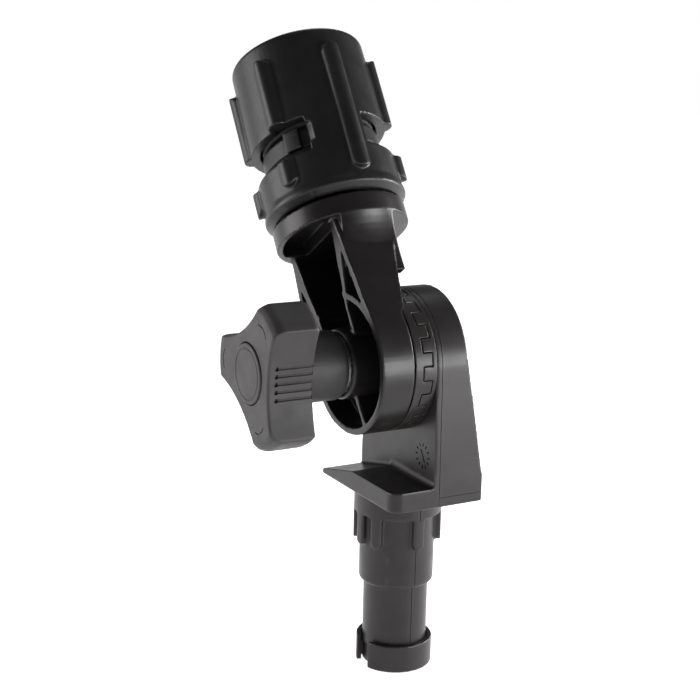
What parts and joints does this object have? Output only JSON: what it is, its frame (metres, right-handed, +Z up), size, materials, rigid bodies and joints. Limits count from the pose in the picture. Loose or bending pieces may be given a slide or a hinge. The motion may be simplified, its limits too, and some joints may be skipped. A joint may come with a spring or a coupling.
{
  "type": "tilting rod holder mount head",
  "caption": "Black rod holder head: splined post, bracket with ledge, clutched tilting arm with a three-lobe clamp knob, and a ribbed twist-lock socket on top.",
  "frame": {"origin": "centre of the foot of the post, on the post's axis", "axes": "+Z up along the post, +X along the tilt axis from the knob towards the bracket plate, -Y the side the arm leans away from"},
  "size_m": [0.075, 0.105, 0.2148],
  "materials": {
    "moulded_nylon": "satin moulded",
    "collar_nylon": "smooth moulded",
    "knob_nylon": "fine textured",
    "clutch_nylon": "satin moulded",
    "inner_nylon": "satin moulded",
    "stainless": "plain stainless",
    "bronze": "turned",
    "friction": "matt",
    "rubber": "smooth"
  },
  "bodies": {
    "bracket": {"bracket_post": "moulded_nylon", "post_snap_ring": "moulded_nylon", "bracket_gear_ring": "clutch_nylon", "gear_ring_screws": "stainless", "pivot_bolt": "stainless", "spring_washer": "stainless", "release_spring": "stainless"},
    "clutch": {"clutch_ring": "clutch_nylon", "pivot_bushing": "bronze"},
    "arm": {"arm": "moulded_nylon", "friction_disc": "friction", "socket_sleeve": "inner_nylon", "sleeve_screws": "stainless", "stop_band": "inner_nylon", "collar_o_ring": "rubber", "retaining_ring": "stainless"},
    "collar": {"twist_collar": "collar_nylon", "lock_tab": "inner_nylon", "lock_tab_pins": "stainless"},
    "knob": {"knob_body": "knob_nylon", "knob_insert": "bronze", "knob_cap": "knob_nylon", "knob_washer": "stainless"}
  },
  "joints": [
    {"name": "clutch_release", "type": "slide", "parent": "bracket", "child": "clutch", "axis": [-1, 0, 0], "range_m": [0, 0.0045], "deforming": ["release_spring"]},
    {"name": "arm_tilt", "type": "hinge", "parent": "clutch", "child": "arm", "pos_m": [0, 0, 0.1081], "axis": [-1, 0, 0], "range_deg": [-123, 57]},
    {"name": "collar_twist", "type": "hinge", "parent": "arm", "child": "collar", "pos_m": [-0.0102, 0.04357, 0.17519], "axis": [0, 0.5446, 0.8387], "range_deg": [0, 60]},
    {"name": "knob_turn", "type": "hinge", "parent": "clutch", "child": "knob", "pos_m": [-0.045, 0, 0.1081], "axis": [-1, 0, 0], "range_deg": [0, 1081]}
  ],
  "couplings": [
    {"joint": "knob_turn", "follows": "clutch_release", "rad_per_m": 4188.8}
  ]
}
